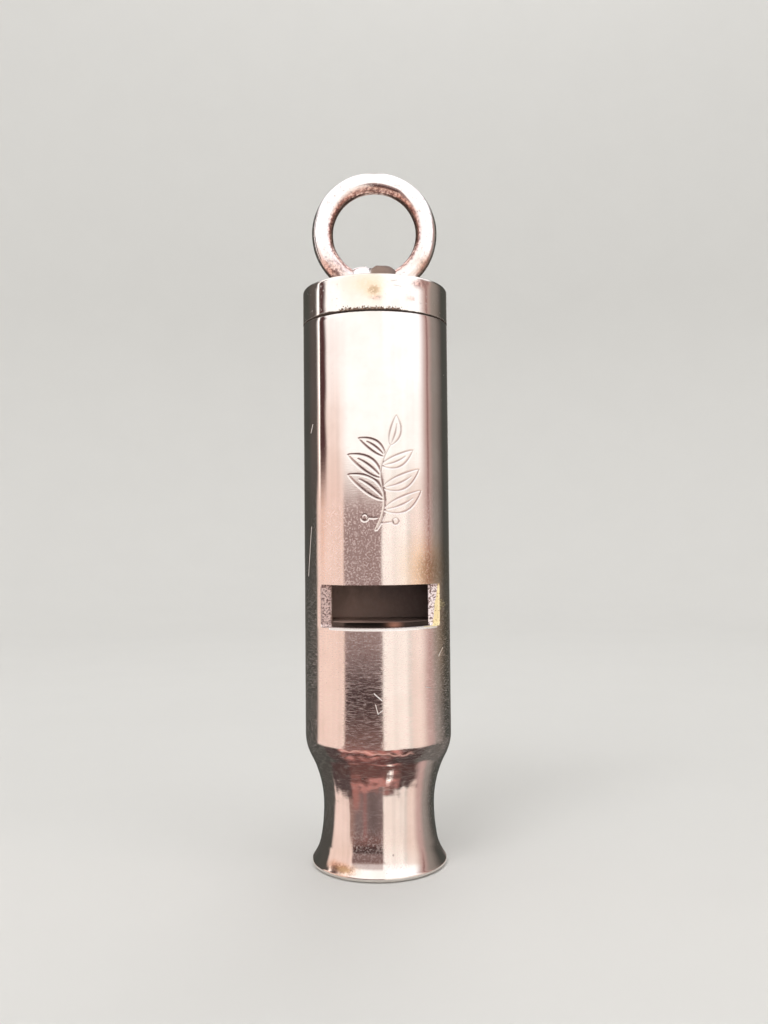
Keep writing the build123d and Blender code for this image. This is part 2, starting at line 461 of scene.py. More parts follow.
barrel_marks = {
    "bare": most(
        np.where(right_end, 1.2 * ease(wedge + 0.08, wedge - 0.08, cut_depth), 0.0),
        0.35 * bump_at(up_from_cut, 0.1) * (np.abs(x_mm) < 6.9) * outer_front * ~on_cut,
        spots(x_mm, z_mm, (0.8, 7.0, middle_mm, 0.55, 0.55)) * outer_front,
    ),
    "stain": most(
        spots(x_mm, z_mm, (1.0, 5.7, 33.8, 1.7, 2.4), (0.6, 7.4, 27.5, 0.7, 5.0)) * in_front,
        1.7 * bump_at(flare_spot, 0.72) * outer_front,
    ),
    "brown": 0.45 * bump_at(flare_spot - 1, 0.35) * outer_front,
    "grime_and_painted_shade": most(
        ease(seam_z / mm - 0.16, seam_z / mm - 0.02, z_mm) * ~bore_side,
        spots(x_mm, z_mm, (0.26, 2.0, 0.95, 1.5, 0.4)) * outer_front,
    ),
    "graved_and_painted_reflection": most(
        np.concatenate([groove.ravel(), np.zeros(cut_count)]),
        (0.45 + 0.35 * ease(2.7, 1.7, z_mm)) * flare_band * outer_front,
    ),
    "soot_and_painted_reflection": most(
        np.where(bore_side, ease(1.2, 5.5, z_mm), 0.0),
        np.where(on_cut, ease(0.8, 1.0, cut_depth) * (np.abs(x_mm) < 5.3), 0.0),
    ),
    "cut_metal": np.where(on_cut, ease(0.03, 0.1, cut_depth), 0.0),
}

used, barrel_faces = np.unique(barrel_faces, return_inverse=True)
barrel_faces = barrel_faces.reshape(-1, 4)


def make_piece(name, places, faces, marks=None):
    """Makes a smooth mesh object of four-sided faces, its place in its mesh.

    Marks are values held at its points.
    """
    mesh = bpy.data.meshes.new(name)
    mesh.vertices.add(len(places))
    mesh.vertices.foreach_set("co", np.ascontiguousarray(places, np.float32).ravel())
    mesh.loops.add(faces.size)
    mesh.loops.foreach_set("vertex_index", np.ascontiguousarray(faces, np.int32).ravel())
    mesh.polygons.add(len(faces))
    mesh.polygons.foreach_set("loop_start", np.arange(0, faces.size, faces.shape[1], dtype=np.int32))
    mesh.polygons.foreach_set("use_smooth", np.ones(len(faces), bool))
    mesh.update(calc_edges=True)
    mesh.validate()
    for mark, values in (marks or {}).items():
        held = mesh.attributes.new(mark, "FLOAT", "POINT")
        held.data.foreach_set("value", np.ascontiguousarray(values, np.float32))
    piece = bpy.data.objects.new(name, mesh)
    bpy.context.scene.collection.objects.link(piece)
    return piece


barrel = make_piece(
    "plated_barrel",
    points[used],
    barrel_faces,
    {mark: values[used] for mark, values in barrel_marks.items()},
)


def put(tree, kind, inputs=None, **settings):
    """Adds a shader node. Each input takes a plain value, or another node's output to be linked."""
    made = tree.nodes.new("ShaderNode" + kind)
    for setting, value in settings.items():
        setattr(made, setting, value)
    for socket, value in (inputs or {}).items():
        if isinstance(value, bpy.types.NodeSocket):
            tree.links.new(value, made.inputs[socket])
        else:
            made.inputs[socket].default_value = value
    return made


def sum_of(tree, operation, first, second=0.0, third=0.0):
    return put(tree, "Math", {0: first, 1: second, 2: third}, operation=operation).outputs[0]


def stepped(tree, value, low, high, top=1.0):
    """0 below low and top above high, eased between."""
    inputs = {"Value": value, "From Min": low, "From Max": high, "To Min": 0.0, "To Max": top}
    return put(tree, "MapRange", inputs, interpolation_type="SMOOTHSTEP").outputs[0]


def tinted(tree, share, first, second):
    """A colour between two, by a share. Either may be a plain (r, g, b) or another node's colour."""
    inputs = {0: share}
    for socket, colour in ((6, first), (7, second)):
        inputs[socket] = colour if isinstance(colour, bpy.types.NodeSocket) else (*colour, 1.0)
    return put(tree, "Mix", inputs, data_type="RGBA").outputs[2]


def patched(tree, value, low, high, first, second):
    """The first colour where the value is below low, and the second where it is above high."""
    return tinted(tree, stepped(tree, value, low, high), first, second)


def times(tree, first, second):
    return sum_of(tree, "MULTIPLY", first, second)


def raised(tree, value, share, step):
    """The value, and a step more where the share is 1."""
    return sum_of(tree, "MULTIPLY_ADD", share, step, value)


def broken(tree, share, noise, depth):
    """A share made uneven by a noise, by up to half the depth either way."""
    return raised(tree, share, sum_of(tree, "SUBTRACT", noise, 0.5), depth)


def noise_in(tree, places, scale, detail, roughness):
    inputs = {"Vector": places, "Scale": scale, "Detail": detail, "Roughness": roughness}
    return put(tree, "TexNoise", inputs).outputs["Fac"]


def stretched(tree, places, factors):
    return put(tree, "Mapping", {"Vector": places, "Scale": factors}).outputs[0]


def new_finish(name):
    """An empty node material with a metal shader, and places on the piece in millimetres."""
    finish = bpy.data.materials.new(name)
    finish.use_nodes = True
    tree = finish.node_tree
    shader = tree.nodes["Principled BSDF"]
    own = put(tree, "TexCoord").outputs["Object"]
    return finish, tree, shader, stretched(tree, own, (1 / mm,) * 3)


def mark(tree, name):
    return put(tree, "Attribute", attribute_name=name).outputs["Fac"]


def add_bump(tree, shader, height, distance):
    """Adds relief on top of any that the shader already has."""
    normal = shader.inputs["Normal"]
    inputs = {"Height": height, "Distance": distance, "Strength": 1.0}
    if normal.is_linked:
        inputs["Normal"] = normal.links[0].from_socket
    tree.links.new(put(tree, "Bump", inputs).outputs[0], normal)


def set_shader(tree, shader, **sockets):
    for socket, value in sockets.items():
        socket = shader.inputs[socket.replace("_", " ")]
        if isinstance(value, bpy.types.NodeSocket):
            tree.links.new(value, socket)
        else:
            socket.default_value = value


def vectors(tree, operation, first, second, output="Vector"):
    return put(tree, "VectorMath", {0: first, 1: second}, operation=operation).outputs[output]


def scratch_at(tree, places, start, end, half_width):
    """1 on a straight scratch from start to end, both (x, z) in millimetres, and 0 past its half width.

    It is the distance to the line between the two, with the share along it held to 0 and 1.
    """
    flat = vectors(tree, "MULTIPLY", places, (1.0, 0.0, 1.0))
    first = (start[0], 0.0, start[1])
    step = (end[0] - start[0], 0.0, end[1] - start[1])
    away = vectors(tree, "SUBTRACT", flat, first)
    dot = vectors(tree, "DOT_PRODUCT", away, step, "Value")
    inverse = 1 / (step[0] ** 2 + step[2] ** 2)
    share = put(tree, "Math", {0: dot, 1: inverse}, operation="MULTIPLY", use_clamp=True).outputs[0]
    along = put(tree, "VectorMath", {0: step, "Scale": share}, operation="SCALE").outputs[0]
    distance = vectors(tree, "DISTANCE", away, along, "Value")
    return stepped(tree, distance, half_width, half_width * 0.3)


def coat(tree, look, share, tone, strength=1.0, rougher=0.0, duller=0.0):
    """Lays a tone over a look where the share is 1, and makes it rougher and duller there."""
    tone_share = share if strength == 1.0 else times(tree, share, strength)
    look["Base_Color"] = tinted(tree, tone_share, look["Base_Color"], tone)
    roughen(tree, look, share, rougher, duller)


def roughen(tree, look, share, rougher, duller):
    for socket, step in (("Roughness", rougher), ("Metallic", -duller)):
        if step:
            look[socket] = raised(tree, look[socket], share, step)


brass = (0.97, 0.88, 0.57)


def worn_nickel(name, light, dark, round_z, roughness, marks=(), scratches=(), pits=0.72):
    """Nickel plate polished thin and dulled by handling.

    Its tone drifts between two greys. Fine polishing lines and short scuffs run round the Z axis if
    round_z is 1, or any way if it is 0. The scuffs scatter some light low on the whistle, where the
    fingers hold it. They are fewer on the neck, and give way to nicks half way up and at the front
    of the foot. Pits, scratches and the marks held at the piece's points show brass, dirt or soot,
    and some of them painted shade, a painted highlight or painted reflections.
    """
    finish, tree, shader, places = new_finish(name)
    line_stretch = (0.9, 0.9, 12.0) if round_z else (3.5, 3.5, 3.5)
    dash_stretch = (1.35, 1.35, 9.5) if round_z else (4.0, 4.0, 4.0)
    lines = noise_in(tree, stretched(tree, places, line_stretch), 1.0, 4.0, 0.65)
    dashes = noise_in(tree, stretched(tree, places, dash_stretch), 1.0, 4.0, 0.7)
    grain = noise_in(tree, places, 4.6, 2.0, 0.6)
    cloud = noise_in(tree, places, 0.23, 3.0, 0.6)
    mottle = noise_in(tree, places, 2.6, 3.0, 0.7)
    across, depth, up = put(tree, "SeparateXYZ", {0: places}).outputs
    aside = sum_of(tree, "ABSOLUTE", across)
    in_front = sum_of(tree, "LESS_THAN", depth, 0.0)

    pit = stepped(tree, mottle, pits, pits + 0.05)
    cell = put(tree, "TexVoronoi", {"Vector": places, "Scale": 0.62}, feature="F1")
    cell_pick = put(tree, "SeparateColor", {0: cell.outputs["Color"]}).outputs[0]
    speck_size = stepped(tree, cell_pick, 0.70, 1.0, 0.075)
    speck = sum_of(tree, "LESS_THAN", cell.outputs["Distance"], speck_size)
    handled = times(tree, stepped(tree, up, 38.0, 24.0), stepped(tree, up, 3.0, 6.0))
    handled = times(tree, handled, raised(tree, 0.4, stepped(tree, up, 11.5, 16.0), 0.6))
    scuff = times(tree, stepped(tree, dashes, 0.48, 0.64), handled)
    half_way = times(tree, stepped(tree, up, 20.0, 33.0), stepped(tree, up, 46.0, 39.0))
    half_way = times(tree, half_way, stepped(tree, aside, 7.6, 5.4))
    foot = times(tree, stepped(tree, up, 6.5, 3.5, 0.7), stepped(tree, up, 1.0, 1.4))
    foot = times(tree, foot, times(tree, stepped(tree, aside, 3.8, 2.8), in_front))
    nick = times(tree, stepped(tree, grain, 0.49, 0.60), sum_of(tree, "MAXIMUM", half_way, foot))

    look = {
        "Base_Color": patched(tree, cloud, 0.35, 0.68, light, dark),
        "Roughness": raised(tree, roughness - 0.03, cloud, 0.06),
        "Metallic": 1.0,
    }
    coat(tree, look, stepped(tree, lines, 0.75, 0.35, 0.22), dark)
    coat(tree, look, pit, (0.42, 0.33, 0.29), 0.45, rougher=0.25)
    coat(tree, look, speck, (0.16, 0.11, 0.09), 0.8, rougher=0.25, duller=0.5)
    coat(tree, look, sum_of(tree, "MAXIMUM", scuff, nick), (0.90, 0.76, 0.72))
    roughen(tree, look, scuff, 0.12, 0.26)
    roughen(tree, look, nick, 0.09, 0.34)

    if scratches:
        scratched = 0.0
        for start, end, half_width in scratches:
            one = scratch_at(tree, places, start, end, half_width)
            scratched = sum_of(tree, "MAXIMUM", scratched, one)
        scratched = times(tree, scratched, in_front)
        coat(tree, look, scratched, (0.93, 0.91, 0.88), 0.8, rougher=0.3, duller=0.6)
        add_bump(tree, shader, scratched, -0.03 * mm)
    if "graved_and_painted_reflection" in marks:
        coat(tree, look, mark(tree, "graved_and_painted_reflection"), (0.33, 0.24, 0.22), 0.9)
    if "stain" in marks:
        share = times(tree, mark(tree, "stain"), stepped(tree, mottle, 0.1, 0.52))
        tone = patched(tree, share, 0.5, 0.95, (0.80, 0.57, 0.33), (0.50, 0.34, 0.19))
        coat(tree, look, share, tone, 0.9, rougher=0.12)
    if "cut_metal" in marks:
        share = mark(tree, "cut_metal")
        # The cut's right end is painted lighter than its left end, a painted light on the same metal.
        tone = patched(tree, across, 0.0, 4.0, (0.80, 0.65, 0.61), (1.0, 0.93, 0.93))
        tone = patched(tree, grain, 0.38, 0.54, (0.24, 0.16, 0.15), tone)
        coat(tree, look, share, tone, rougher=0.42)
        add_bump(tree, shader, times(tree, share, mottle), 0.05 * mm)
    if "bare" in marks:
        share = stepped(tree, broken(tree, mark(tree, "bare"), mottle, 0.9), 0.38, 0.55)
        tone = patched(tree, grain, 0.56, 0.68, brass, (0.52, 0.38, 0.20))
        coat(tree, look, share, tone, rougher=0.14)
    if "soot_and_painted_reflection" in marks:
        tone = patched(tree, cloud, 0.4, 0.65, (0.115, 0.074, 0.052), (0.20, 0.125, 0.085))
        coat(tree, look, mark(tree, "soot_and_painted_reflection"), tone, rougher=0.34, duller=0.45)
    if "brown" in marks:
        share = times(tree, mark(tree, "brown"), stepped(tree, mottle, 0.05, 0.55))
        tone = patched(tree, mottle, 0.44, 0.60, (0.70, 0.44, 0.36), (0.27, 0.13, 0.11))
        coat(tree, look, share, tone, rougher=0.16)
    if "crumbs" in marks:
        piled = broken(tree, times(tree, mark(tree, "crumbs"), 0.46), grain, 1.0)
        share = stepped(tree, piled, 0.24, 0.34)
        tone = patched(tree, mottle, 0.42, 0.62, (0.10, 0.055, 0.036), (0.38, 0.24, 0.17))
        coat(tree, look, share, tone, rougher=0.45, duller=0.8)
        add_bump(tree, shader, share, 0.03 * mm)
    if "grime_and_painted_shade" in marks:
        share = stepped(tree, broken(tree, mark(tree, "grime_and_painted_shade"), mottle, 0.8), 0.30, 0.65)
        coat(tree, look, share, (0.05, 0.030, 0.020), rougher=0.5, duller=0.75)

    add_bump(tree, shader, lines, 0.003 * mm)
    add_bump(tree, shader, scuff, -0.001 * mm)
    add_bump(tree, shader, sum_of(tree, "MAXIMUM", pit, speck), -0.012 * mm)
    set_shader(tree, shader, **look)
    return finish


# Each scratch: start and end (x, z) in millimetres, and half its width. The last one is a painted
# highlight: a white line along the window's lower edge, where its worn edge catches the light.
edge_z = window_bottom / mm - 0.11
barrel_scratches_and_highlight = [
    ((-0.35, 20.6), (0.45, 19.9), 0.075),
    ((-0.22, 19.4), (0.05, 18.4), 0.06),
    ((0.05, 18.4), (0.5, 18.75), 0.05),
    ((6.85, 24.2), (7.35, 25.0), 0.09),
    ((-7.8, 33.2), (-7.35, 38.8), 0.05),
    ((-7.35, 49.5), (-7.1, 50.4), 0.07),
    ((5.3, 21.0), (5.9, 20.8), 0.04),
    ((-5.2, edge_z), (6.6, edge_z), 0.18),
]
barrel.data.materials.append(
    worn_nickel(
        "nickel_round_barrel",
        (0.81, 0.77, 0.73),
        (0.755, 0.70, 0.655),
        1,
        0.07,
        marks=("graved_and_painted_reflection", "stain", "brown", "cut_metal", "bare", "soot_and_painted_reflection", "grime_and_painted_shade"),
        scratches=barrel_scratches_and_highlight,
    )
)
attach(barrel, "root")
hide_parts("barrel")

# ---- End cap ----
# A solid disc turned from brass bar, its spigot pushed into the barrel and soft soldered, then
# plated with the rest. Its upper edge is rounded by wear, and dirt has dried along the seam.

cap_low, cap_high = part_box("end_cap")
cap_radius = cap_high.x
cap_top = cap_high.z
cap_round = 0.42 * mm
cap_foot_round = 0.12 * mm
spigot_radius = bore_radius - 0.08 * mm
cap_columns = np.linspace(-pi, pi, 181)[:-1]


def lathe(outline, turns, inward):
    """Rings of points: an outline (r, z) carried round Z. inward(turn, height) is taken off its radius."""
    turned = np.broadcast_to(turns, (len(outline), len(turns)))
    level = np.repeat(outline[:, 1:], len(turns), axis=1)
    return about_z(outline[:, :1] - inward(turned, level), turned, level)


def closed_stack(rings):
    """Points and faces of a solid made of closed rings, row on row, with a disc at each end."""
    count, steps = rings.shape[:2]
    ring = np.arange(count * steps).reshape(count, steps)
    sides = quads(ring)[:-1].reshape(-1, 4)
    middles = np.stack([rings[0].mean(axis=0), rings[-1].mean(axis=0)])
    foot, head = count * steps, count * steps + 1
    start = np.arange(0, steps, 2)
    after = (start + 2) % steps
    fan = np.stack([start, start + 1, after], axis=1)
    low = np.column_stack([np.full(len(fan), foot), ring[0, fan[:, ::-1]]])
    high = np.column_stack([np.full(len(fan), head), ring[-1, fan]])
    return np.concatenate([rings.reshape(-1, 3), middles]), np.concatenate([sides, low, high])


def cap_waves(turn, height):
    """Low waves left by the polishing wheel, and two small knocks on the upper edge. All inward."""
    z = height / mm
    waves = 3.0 + np.sin(2 * turn + 0.4) + np.sin(5 * turn + 0.8 * z) + np.sin(3 * turn - 1.9)
    knocks = dent_at(turn, height, 0.75, 66.3, 0.45) + 0.7 * dent_at(turn, height, -0.93, 66.4, 0.35)
    return (0.0015 * waves + 0.05 * knocks) * mm * (z > 63)


cap_outline = np.concatenate(
    [
        np.array([[r, cap_low.z] for r in (0.4 * mm, 4 * mm)]),
        np.array([[spigot_radius - 0.1 * mm, cap_low.z], [spigot_radius, cap_low.z + 0.1 * mm]]),
        straight(spigot_radius, [seam_z - 0.3 * mm, seam_z]),
        arc((cap_radius - cap_foot_round, seam_z + cap_foot_round), cap_foot_round, -pi / 2, 0, 5),
        straight(cap_radius, np.linspace(seam_z + cap_foot_round, cap_top - cap_round, 22)[1:-1]),
        arc((cap_radius - cap_round, cap_top - cap_round), cap_round, 0, pi / 2, 11),
        np.array([[r * mm, cap_top] for r in (7.4, 6.0, 4.5, 3.0, 1.5, 0.4)]),
    ]
)
cap_points, cap_faces = closed_stack(lathe(cap_outline, cap_columns, cap_waves))
cap_x, cap_y, cap_z = (cap_points / mm).T
cap_front = cap_y < 0
above_seam = cap_z - seam_z / mm
dirt_width = 0.24 + 0.34 * bump_at(cap_x + 5.4, 0.9) * cap_front
crust_width = ease(-5.2, -3.2, cap_x) * ease(4.4, 1.8, cap_x) * cap_front
cap_stains = spots(cap_x, cap_z, (1.05, -0.05, 64.75, 0.75, 0.62), (0.62, -0.5, 65.4, 1.5, 0.7))
cap_browns = spots(
    cap_x, cap_z, (0.9, 4.9, 65.75, 0.5, 0.35), (0.9, 4.1, 64.0, 0.3, 0.16), (0.8, 0.2, 63.85, 0.4, 0.14)
)
cap = make_piece(
    "plated_cap",
    cap_points,
    cap_faces,
    {
        "grime_and_painted_shade": 0.9 * ease(dirt_width, 0.03, above_seam),
        "crumbs": crust_width * ease(0.75, 0.12, above_seam) * (above_seam > -0.01),
        "stain": cap_stains * cap_front,
        "brown": cap_browns * cap_front,
        "bare": 0.3 * bump_at(cap_z - (cap_top / mm - 0.15), 0.25) * (np.hypot(cap_x, cap_y) > 7.8),
        "soot_and_painted_reflection": (above_seam < 0.01) * 1.0,
    },
)
cap.data.materials.append(
    worn_nickel(
        "nickel_round_cap",
        (0.83, 0.79, 0.735),
        (0.76, 0.695, 0.62),
        1,
        0.10,
        marks=("stain", "brown", "bare", "soot_and_painted_reflection", "crumbs", "grime_and_painted_shade"),
        scratches=[((1.9, 65.75), (2.5, 65.85), 0.05), ((2.2, 65.3), (3.0, 65.2), 0.05)],
        pits=0.66,
    )
)
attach(cap, "root")
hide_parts("end_cap")

# ---- Dried polish in the seam ----
# Old polish and dirt packed in the groove between cap and barrel. It stands out in crumbs across
# the front, and shrinks to a thin line at the sides.

seam_turns = np.linspace(-pi, pi, 721)[:-1]
crumb_size = 0.075 * mm
bead_steps = 8


def seam_bead(turns):
    """A thin closed bead in the groove. Its section is a circle whose radius is a sum of waves, cubed."""
    section = np.linspace(0, 2 * pi, bead_steps + 1)[:-1]
    front = ease(-0.6, -0.3, turns) * ease(0.62, 0.3, turns)
    rough = 0.5 + 0.25 * np.sin(43 * turns + 0.4) + 0.2 * np.sin(71 * turns + 2.0)
    rough = rough + 0.15 * np.sin(113 * turns)
    size = crumb_size * (0.55 + 0.75 * front * np.clip(rough, 0, 1) ** 3)
    lift = crumb_size * front * (0.9 * np.sin(29 * turns) ** 2)
    reach = barrel_radius - 0.17 * mm + size[:, None] * np.cos(section)
    level = seam_z + lift[:, None] + size[:, None] * np.sin(section) * (1 + 0.9 * front[:, None])
    reach = np.minimum(reach, barrel_radius - 0.02 * mm)
    return about_z(reach, turns[:, None], level).reshape(-1, 3)


def tube_faces(rings, points_each):
    """Four-sided faces of a tube that closes on itself both ways."""
    ring = np.arange(rings * points_each).reshape(rings, points_each)
    return quads(ring)[..., [0, 3, 2, 1]].reshape(-1, 4)


bead = make_piece("seam_dirt", seam_bead(seam_turns), tube_faces(len(seam_turns), bead_steps))
bead_finish, tree, shader, places = new_finish("dried_polish")
crumbs = noise_in(tree, places, 3.2, 3.0, 0.7)
set_shader(
    tree,
    shader,
    Base_Color=patched(tree, crumbs, 0.4, 0.66, (0.045, 0.024, 0.016), (0.26, 0.15, 0.09)),
    Roughness=stepped(tree, crumbs, 1.0, 0.1, 0.95),
)
add_bump(tree, shader, crumbs, 0.05 * mm)
bead.data.materials.append(bead_finish)
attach(bead, "root")

# ---- Cap solder ----
# The film of soft solder between the cap's spigot and the bore. Only its lower edge can be seen,
# from inside the chambers.

solder_finish, tree, shader, places = new_finish("soft_solder_film")
grain = noise_in(tree, places, 1.4, 4.0, 0.6)
set_shader(
    tree,
    shader,
    Base_Color=patched(tree, grain, 0.35, 0.65, (0.24, 0.20, 0.18), (0.42, 0.37, 0.33)),
    Roughness=stepped(tree, grain, 0.0, 1.0, 0.75),
    Metallic=0.8,
)
add_bump(tree, shader, grain, 0.03 * mm)
solder_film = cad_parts["cap_solder"]
solder_film.data.materials.clear()
solder_film.data.materials.append(solder_finish)

# ---- Hanging ring ----
# A closed ring of round brass wire, bent up and brazed shut, its foot filed flat to sit on the
# cap. The plate over it is worn, with pits where the lanyard's clip has rubbed.

ring_low, ring_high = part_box("hanging_ring")
wire_radius = ring_high.y
ring_middle_radius = ring_high.x - wire_radius
ring_z = ring_high.z - wire_radius - ring_middle_radius
ring_steps, wire_steps = 216, 44


def ring_surface():
    """A torus in the XZ plane. Its wire thins by low waves, has dents, and is filed flat below."""
    swing = np.linspace(0, 2 * pi, ring_steps + 1)[:-1, None]
    section = np.linspace(0, 2 * pi, wire_steps + 1)[None, :-1]
    thin = 0.005 * (3 + np.sin(3 * swing + 0.6) + np.sin(5 * swing - 1.0) + np.sin(2 * swing + 2 * section))
    thin = thin + 0.006 * (1 + np.sin(11 * swing + 3 * section + 1.0))
    dents = 0.0
    for where, side, size, deep in ring_dents:
        gap_round = (swing - where) * ring_middle_radius
        gap_over = 2 * wire_radius * np.sin((section - side) / 2)
        dents = dents + deep * bump_at(np.hypot(gap_round, gap_over) / mm, size)
    reach = wire_radius - (thin + dents) * mm
    out = ring_middle_radius + reach * np.cos(section)
    z = np.maximum(ring_z + out * np.cos(swing), ring_low.z)
    return np.stack([out * np.sin(swing), -reach * np.sin(section), z], axis=2).reshape(-1, 3)


# Each dent: where round the ring from its top, where round the wire from outside to front, size
# and depth.
ring_dents = [
    (3.85, 1.2, 0.35, 0.06),
    (3.98, 1.7, 0.28, 0.07),
    (4.10, 1.0, 0.30, 0.05),
    (4.30, 1.6, 0.22, 0.05),
    (4.62, 1.9, 0.25, 0.04),
    (1.55, 1.5, 0.28, 0.05),
    (2.25, 1.3, 0.30, 0.05),
    (0.55, 2.4, 0.25, 0.05),
    (5.70, 2.2, 0.22, 0.04),
]
ring_points = ring_surface()
ring_x, _, ring_up = (ring_points / mm).T
from_middle = ring_up - ring_z / mm
leg_left = spots(ring_x, from_middle, (1.0, -4.9, -4.6, 1.3, 1.3))
leg_right = spots(ring_x, from_middle, (1.0, 6.3, -4.3, 0.9, 0.9))
# The brown band along the wire's inner side is a painted reflection of dark surroundings.
inner_lip = ease(5.75, 5.25, np.hypot(ring_x, from_middle))
ring_marks = {
    "stain": 0.6 * leg_right,
    "brown": most(0.95 * inner_lip, 0.85 * leg_left, 0.8 * leg_right),
    "grime_and_painted_shade": most(0.8 * ease(0.5, 0.1, ring_up - ring_low.z / mm), 0.3 * leg_left),
}
ring = make_piece("plated_ring", ring_points, tube_faces(ring_steps, wire_steps)[:, ::-1], ring_marks)
ring.data.materials.append(
    worn_nickel(
        "nickel_ring_wire",
        (0.87, 0.84, 0.81),
        (0.82, 0.77, 0.74),
        0,
        0.09,
        marks=("stain", "brown", "grime_and_painted_shade"),
        pits=0.62,
    )
)
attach(ring, "root")
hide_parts("hanging_ring")

# ---- Ring braze ----
# The lump of hard solder that holds the ring's foot. It flowed unevenly, so it stands as two
# humps across the eye, the right one a little higher. It was plated over with the rest. The right
# hump is painted dark as a painted reflection, and a painted shade line lies in the crease.

braze_low, braze_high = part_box("ring_braze")
lump_steps, lump_rows = 96, 26


def braze_surface():
    """Two humps on an oval foot. Each hump's top is an even step up and a slower step down along x."""
    swing = np.linspace(0, 2 * pi, lump_steps + 1)[None, :-1]
    climb = np.linspace(0, 1, lump_rows)[:, None]
    side = 1 - climb**3.2 * 0.97
    long, wide = braze_high.x + 0.35 * mm, braze_high.y
    squarer = np.sign(np.cos(swing)) * np.abs(np.cos(swing)) ** 0.85
    x = long * side * squarer - 0.12 * mm * climb
    y = -wide * side * np.sin(swing) * (0.93 + 0.05 * np.sin(3 * swing + 1.0))
    swell = 0.05 * mm * np.sin(3.1 * x / mm + 0.5) * np.sin(2.6 * y / mm)
    across_mm = x / mm
    left = ease(-3.9, -2.6, across_mm) * ease(-0.2, -1.1, across_mm)
    right = ease(-1.0, 0.3, across_mm) * ease(4.0, 1.7, across_mm)
    saddle = 0.62 * ease(-3.6, -2.4, across_mm) * ease(3.4, 1.5, across_mm)
    low = braze_low.z + 2.2 * mm
    rise = most(0.94 * left, right, saddle)
    top = low + (braze_high.z - low) * rise + swell * ease(0, 0.6, climb) - 0.05 * mm
    z = braze_low.z + (top - braze_low.z) * np.sin(0.5 * pi * climb) ** 0.4
    return np.stack([x, y, np.minimum(z, braze_high.z)], axis=2)


lump_points, lump_faces = closed_stack(braze_surface()[:, ::-1])
lump_x, _, lump_z = (lump_points / mm).T
# The right hump is painted dark, a painted reflection, and a thin painted shade runs down the crease between
# the humps. The lump is also darker towards its foot.
right_hump = ease(-0.5, -0.3, lump_x)
darker_foot = 0.85 * ease(0.75, 0.1, lump_z - braze_low.z / mm)
lump = make_piece(
    "plated_braze",
    lump_points,
    lump_faces,
    {
        "grime_and_painted_shade": most(darker_foot, 0.8 * bump_at(lump_x + 0.5, 0.07)),
        "graved_and_painted_reflection": 0.7 * right_hump,
        "soot_and_painted_reflection": 0.85 * right_hump,
    },
)
lump.data.materials.append(
    worn_nickel(
        "nickel_over_braze",
        (0.90, 0.88, 0.87),
        (0.80, 0.77, 0.75),
        0,
        0.12,
        marks=("graved_and_painted_reflection", "soot_and_painted_reflection", "grime_and_painted_shade"),
        pits=0.64,
    )
)
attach(lump, "root")
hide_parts("ring_braze")

# ---- Divider, airway plugs and chamber stop ----
# A brass plate down the middle of the bore, a filed half-round plug on each side of it at the
# mouthpiece, and a half disc that shortens the rear chamber, all soft soldered in. They were never
# plated or polished, and breath has turned them brown.

edge_wear = 0.07 * mm
slice_steps = 40


def bore_slice(low, high, radius):
    """The part of a disc between two flats across it, as points (x, y) round its edge.

    Along the low flat, round the bore's arc, back along the high flat, and round the other arc.
    """
    share = np.linspace(0, 1, slice_steps + 1)[:-1]
    low_turn, high_turn = asin(low / radius), asin(min(high / radius, 1.0))
    low_x, high_x = radius * cos(low_turn), radius * cos(high_turn)
    up = low_turn + (high_turn - low_turn) * share
    down = high_turn + (low_turn - high_turn) * share
    arc_right = np.stack([radius * np.cos(up), radius * np.sin(up)], axis=1)
    arc_left = np.stack([-radius * np.cos(down), radius * np.sin(down)], axis=1)
    along_low = np.stack([low_x * (2 * share - 1), np.full(slice_steps, low)], axis=1)
    if high_x < 0.01 * mm:
        return np.concatenate([along_low, arc_right, arc_left])
    along_high = np.stack([high_x * (1 - 2 * share), np.full(slice_steps, high)], axis=1)
    return np.concatenate([along_low, arc_right, along_high, arc_left])


def worn_block(section, bottom, top):
    """Rings that carry a section straight up, drawn in by the wear at both ends."""
    middle = section.mean(axis=0)
    span = np.linalg.norm(section - middle, axis=1, keepdims=True)
    drawn_in = middle + (section - middle) * (1 - edge_wear / span)
    lower = np.linspace(bottom + edge_wear, top - mm, 8)
    upper = np.linspace(top - 0.8 * mm, top - edge_wear, 9)
    rings = []
    for z in [bottom, *lower, *upper, top]:
        edge = drawn_in if z in (bottom, top) else section
        rings.append(np.column_stack([edge, np.full(len(edge), z)]))
    return np.stack(rings)


